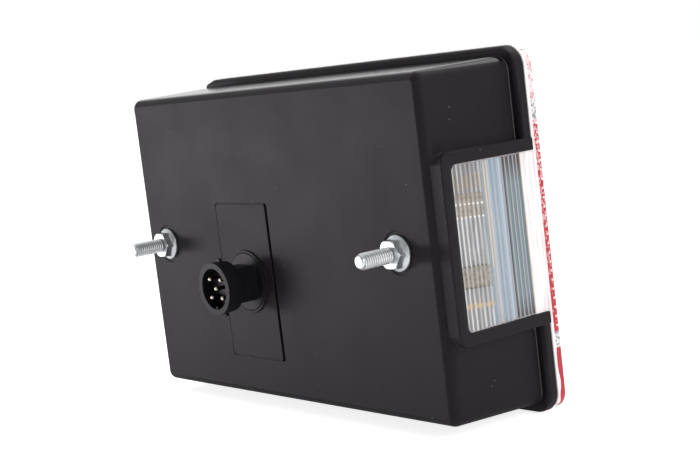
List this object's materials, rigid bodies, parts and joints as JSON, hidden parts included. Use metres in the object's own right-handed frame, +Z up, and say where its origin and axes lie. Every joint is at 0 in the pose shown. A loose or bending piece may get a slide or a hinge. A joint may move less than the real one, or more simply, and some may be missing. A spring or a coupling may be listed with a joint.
{
  "type": "rear combination lamp",
  "caption": "Rectangular rear combination lamp with a black housing, coloured lens, ribbed number-plate window, threaded studs with flange nuts and a round bayonet connector.",
  "frame": {"origin": "on the housing's flat back face, midway between the two studs across and at the middle of the body's height, which is 0.5 mm above the studs", "axes": "+Y out of the back along the studs, so the lens faces -Y; +Z up; the number-plate window is on the -X side"},
  "size_m": [0.1987, 0.0702, 0.135],
  "materials": {
    "housing_black": "satin, fine grain",
    "insert_black": "satin, fine grain",
    "connector_black": "satin",
    "contact_brass": "bright",
    "zinc_steel": "zinc plated, satin",
    "lens_clear": "polished clear moulding",
    "lens_red": "polished transparent red",
    "lens_amber": "polished transparent amber",
    "reflector_red": "prismatic gloss",
    "seal_rubber": "matte",
    "carrier_pale": "smooth, pale",
    "strip_brass": "rolled",
    "cap_nickel": "nickel plated",
    "bulb_glass": "clear"
  },
  "bodies": {
    "root": {"housing": "housing_black", "connector_plate": "insert_black", "connector_body": "connector_black", "contact_block": "connector_black", "pin_centre": "contact_brass", "pin_top_inner": "contact_brass", "pin_top_outer": "contact_brass", "pin_bottom_inner": "contact_brass", "pin_bottom_outer": "contact_brass", "stud_inner": "zinc_steel", "stud_outer": "zinc_steel", "nut_inner": "zinc_steel", "nut_outer": "zinc_steel", "lens_screws": "zinc_steel", "carrier_screws": "zinc_steel", "lens_rim": "lens_clear", "lens_stop": "lens_red", "lens_reverse": "lens_clear", "lens_indicator": "lens_amber", "lens_end": "lens_red", "reflex_reflector": "reflector_red", "lens_seal": "seal_rubber", "carrier": "carrier_pale", "strip_top": "strip_brass", "strip_upper": "strip_brass", "strip_lower": "strip_brass", "strip_bottom": "strip_brass", "strip_earth": "strip_brass", "socket_stop": "strip_brass", "socket_reverse": "strip_brass", "socket_indicator": "strip_brass", "bulb_stop_cap": "cap_nickel", "bulb_reverse_cap": "cap_nickel", "bulb_indicator_cap": "cap_nickel", "bulb_stop_glass": "bulb_glass", "bulb_reverse_glass": "bulb_glass", "bulb_indicator_glass": "bulb_glass"}
  },
  "joints": []
}
